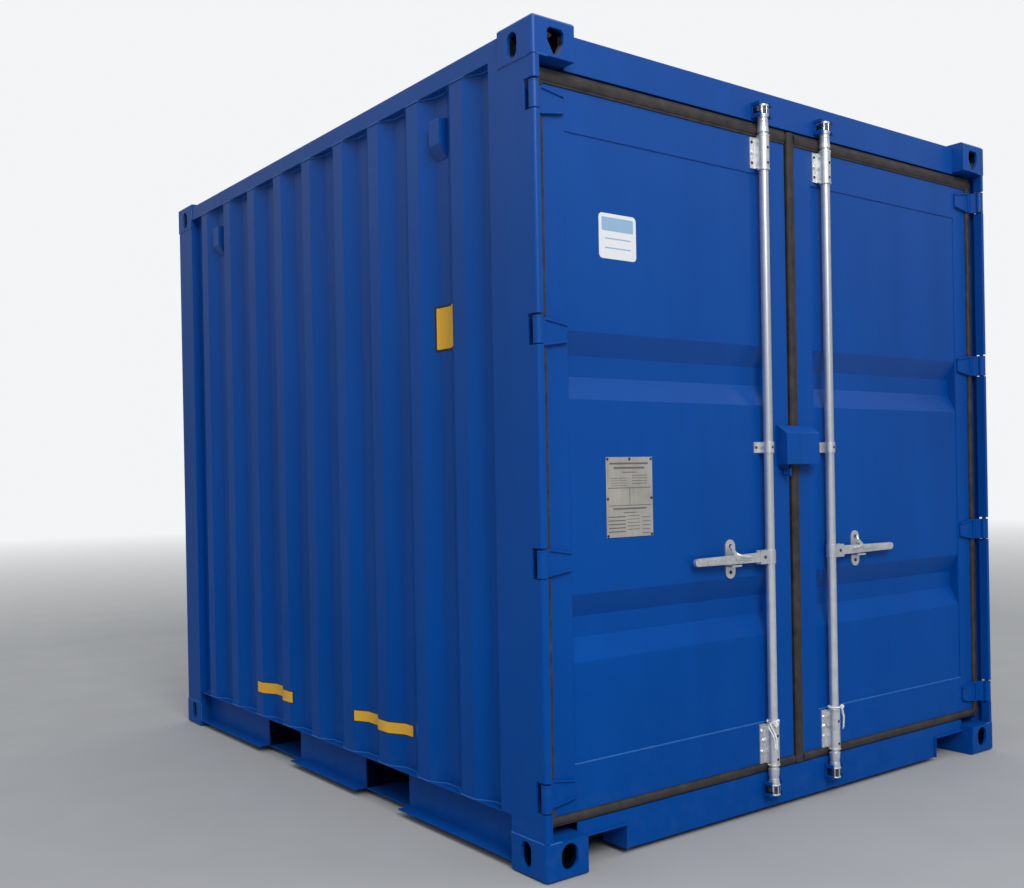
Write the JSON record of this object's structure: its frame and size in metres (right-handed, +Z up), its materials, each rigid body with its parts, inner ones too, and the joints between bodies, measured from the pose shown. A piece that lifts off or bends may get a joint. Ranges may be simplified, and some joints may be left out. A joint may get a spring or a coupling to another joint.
{
  "type": "ten foot shipping container",
  "caption": "Dry freight container with corrugated sides, corner castings, fork pockets and end doors on hinges, held by locking bars with cams and lifting handles.",
  "frame": {"origin": "on the ground, under the middle of the container", "axes": "+Z up, +Y towards the blind end, doors at -Y, +X to the right as seen when facing the doors"},
  "size_m": [2.438, 2.991, 2.591],
  "materials": {
    "blue_paint": "satin marine paint",
    "galvanised_steel": "hot dip galvanised",
    "door_seal_rubber": "matt",
    "plywood": "oiled hardwood plywood",
    "bare_plate": "brushed",
    "white_rope": "twisted cord"
  },
  "bodies": {
    "container": {"blind_end_rails": "blue_paint", "blind_end_wall": "blue_paint", "bottom_corner_castings": "blue_paint", "cam_keepers": "blue_paint", "cross_members": "blue_paint", "door_header": "blue_paint", "door_sill": "blue_paint", "floor": "plywood", "fork_pocket_straps": "blue_paint", "fork_pockets": "blue_paint", "left_blind_post": "blue_paint", "left_bottom_rail": "blue_paint", "left_door_post": "blue_paint", "left_side_wall": "blue_paint", "left_top_rail": "blue_paint", "right_blind_post": "blue_paint", "right_bottom_rail": "blue_paint", "right_door_post": "blue_paint", "right_side_wall": "blue_paint", "right_top_rail": "blue_paint", "roof": "blue_paint", "top_corner_castings": "blue_paint", "vent_covers": "blue_paint"},
    "left_door": {"data_plate": "bare_plate", "left_bar_bearings": "galvanised_steel", "left_door_frame": "blue_paint", "left_door_panel": "blue_paint", "left_door_seal": "door_seal_rubber", "left_handle_retainer": "galvanised_steel", "left_hinge_blades": "blue_paint", "left_lock_box": "blue_paint", "left_rope": "white_rope", "lock_staple": "blue_paint"},
    "left_handle_lever": {"left_handle": "galvanised_steel", "left_handle_catch": "galvanised_steel"},
    "left_bar": {"left_locking_bar": "galvanised_steel"},
    "right_door": {"right_bar_bearings": "galvanised_steel", "right_door_frame": "blue_paint", "right_door_panel": "blue_paint", "right_door_seal": "door_seal_rubber", "right_handle_retainer": "galvanised_steel", "right_hinge_blades": "blue_paint", "right_lock_box": "blue_paint", "right_rope": "white_rope"},
    "right_handle_lever": {"right_handle": "galvanised_steel", "right_handle_catch": "galvanised_steel"},
    "right_bar": {"right_locking_bar": "galvanised_steel"}
  },
  "joints": [
    {"name": "left_door_hinge", "type": "hinge", "parent": "container", "child": "left_door", "pos_m": [-1.201, -1.4775, 1.3035], "axis": [0, 0, 1], "range_deg": [-267, 0]},
    {"name": "right_door_hinge", "type": "hinge", "parent": "container", "child": "right_door", "pos_m": [1.201, -1.4775, 1.3035], "axis": [0, 0, -1], "range_deg": [-267, 0]},
    {"name": "left_bar_turn", "type": "hinge", "parent": "left_door", "child": "left_bar", "pos_m": [-0.172, -1.4675, 1.3], "axis": [0, 0, 1], "range_deg": [0, 100]},
    {"name": "right_bar_turn", "type": "hinge", "parent": "right_door", "child": "right_bar", "pos_m": [0.172, -1.4675, 1.3], "axis": [0, 0, -1], "range_deg": [0, 100]},
    {"name": "left_handle_lift", "type": "hinge", "parent": "left_bar", "child": "left_handle_lever", "pos_m": [-0.211, -1.4675, 0.915], "axis": [0, 1, 0], "range_deg": [0, 30]},
    {"name": "right_handle_lift", "type": "hinge", "parent": "right_bar", "child": "right_handle_lever", "pos_m": [0.211, -1.4675, 0.915], "axis": [0, -1, 0], "range_deg": [0, 30]}
  ]
}
